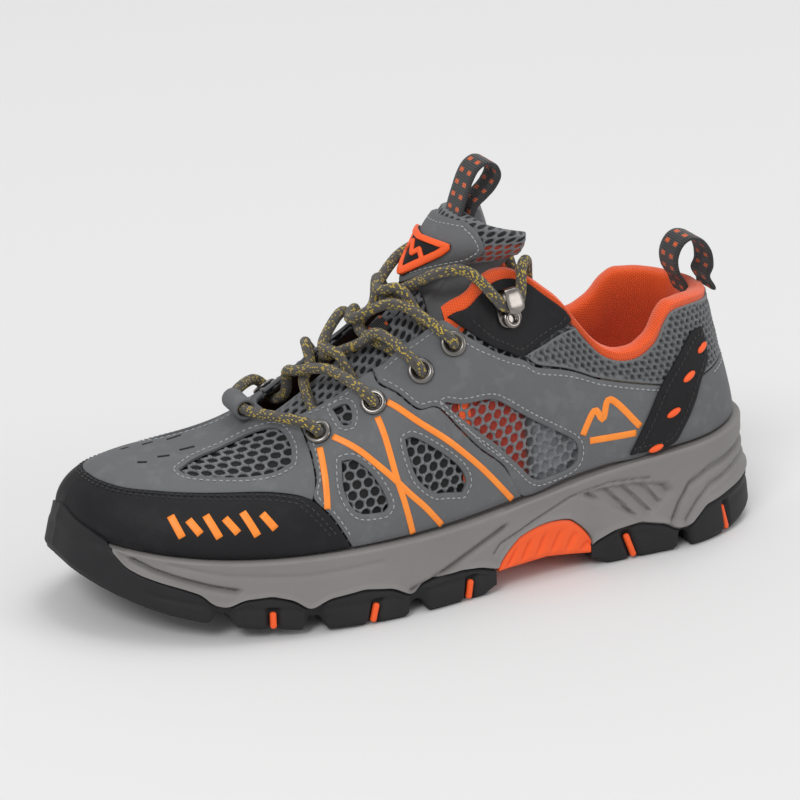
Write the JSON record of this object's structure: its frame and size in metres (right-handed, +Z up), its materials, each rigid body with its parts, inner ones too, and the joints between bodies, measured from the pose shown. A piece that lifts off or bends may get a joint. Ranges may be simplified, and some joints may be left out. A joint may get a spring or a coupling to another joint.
{
  "type": "low-cut hiking shoe, left",
  "caption": "Low-cut left hiking shoe with lugged rubber sole, orange lining and pull loops, and a round lace through eyelets and hooks.",
  "frame": {"origin": "centre of the overall box in plan, at the tread", "axes": "-X toward the toe, -Y toward the lateral side, +Z up"},
  "size_m": [0.304, 0.1116, 0.1653],
  "materials": {
    "black_rubber": "matte moulded",
    "foam_rubber": "matte foam",
    "orange_plastic": "satin moulded",
    "insole_board": "plain felt board",
    "orange_mesh": "fine woven mesh",
    "grey_mesh": "padded honeycomb mesh",
    "black_leather": "smooth, slightly grained",
    "grey_leather": "fine matte grain",
    "black_webbing": "ribbed woven webbing",
    "gunmetal": "dark nickel plated",
    "lace_textile": "round braided",
    "lace_tip_plastic": "clear dark film"
  },
  "bodies": {
    "shoe": {"outsole_forefoot": "black_rubber", "outsole_heel": "black_rubber", "midsole": "foam_rubber", "arch_shank": "orange_plastic", "lug_insert_lateral_1": "orange_plastic", "lug_insert_lateral_2": "orange_plastic", "lug_insert_lateral_3": "orange_plastic", "lug_insert_lateral_4": "orange_plastic", "lug_insert_lateral_5": "orange_plastic", "lug_insert_medial_1": "orange_plastic", "lug_insert_medial_2": "orange_plastic", "lug_insert_medial_3": "orange_plastic", "lug_insert_medial_4": "orange_plastic", "lug_insert_medial_5": "orange_plastic", "strobel_board": "insole_board", "footbed": "orange_mesh", "collar_lining": "orange_mesh", "mesh_toe": "grey_mesh", "mesh_lateral": "grey_mesh", "mesh_medial": "grey_mesh", "heel_stiffener": "grey_mesh", "collar_mesh": "grey_mesh", "tongue_lower": "grey_mesh", "toe_cap": "black_leather", "ankle_patch_lateral": "black_leather", "ankle_patch_medial": "black_leather", "heel_strap_lateral": "black_leather", "heel_strap_medial": "black_leather", "vamp": "grey_leather", "side_panel_lateral": "grey_leather", "side_panel_medial": "grey_leather", "quarter_lateral": "grey_leather", "quarter_medial": "grey_leather", "heel_counter": "grey_leather", "tongue_facing_lower": "grey_leather", "throat_loop": "grey_leather", "heel_loop_tab": "black_webbing", "lace_keeper": "black_webbing", "eyelet_lateral_1": "gunmetal", "eyelet_lateral_2": "gunmetal", "eyelet_lateral_3": "gunmetal", "eyelet_lateral_4": "gunmetal", "eyelet_medial_1": "gunmetal", "eyelet_medial_2": "gunmetal", "eyelet_medial_3": "gunmetal", "eyelet_medial_4": "gunmetal", "hook_lateral": "gunmetal", "hook_medial": "gunmetal", "hook_rivet_lateral": "gunmetal", "hook_rivet_medial": "gunmetal", "lace": "lace_textile", "lace_tip_lateral": "lace_tip_plastic", "lace_tip_medial": "lace_tip_plastic"},
    "tongue_flap": {"tongue_pad": "grey_mesh", "tongue_facing_upper": "grey_leather", "tongue_badge": "orange_plastic"},
    "tongue_loop": {"tongue_pull_loop": "black_webbing"},
    "heel_loop": {"heel_pull_loop": "black_webbing"}
  },
  "joints": [
    {"name": "tongue_flex", "type": "hinge", "parent": "shoe", "child": "tongue_flap", "pos_m": [-0.0015, 0.0009, 0.1218], "axis": [0, -1, 0], "range_deg": [0, 28], "stiffness_Nm_per_rad": 0.06},
    {"name": "tongue_loop_swing", "type": "hinge", "parent": "tongue_flap", "child": "tongue_loop", "pos_m": [0.0206, 0.0009, 0.147], "axis": [0, 1, 0], "range_deg": [-12, 12], "stiffness_Nm_per_rad": 0.01},
    {"name": "heel_loop_swing", "type": "hinge", "parent": "shoe", "child": "heel_loop", "pos_m": [0.1238, 0.0009, 0.1028], "axis": [0, 1, 0], "range_deg": [-7, 7], "stiffness_Nm_per_rad": 0.01}
  ]
}
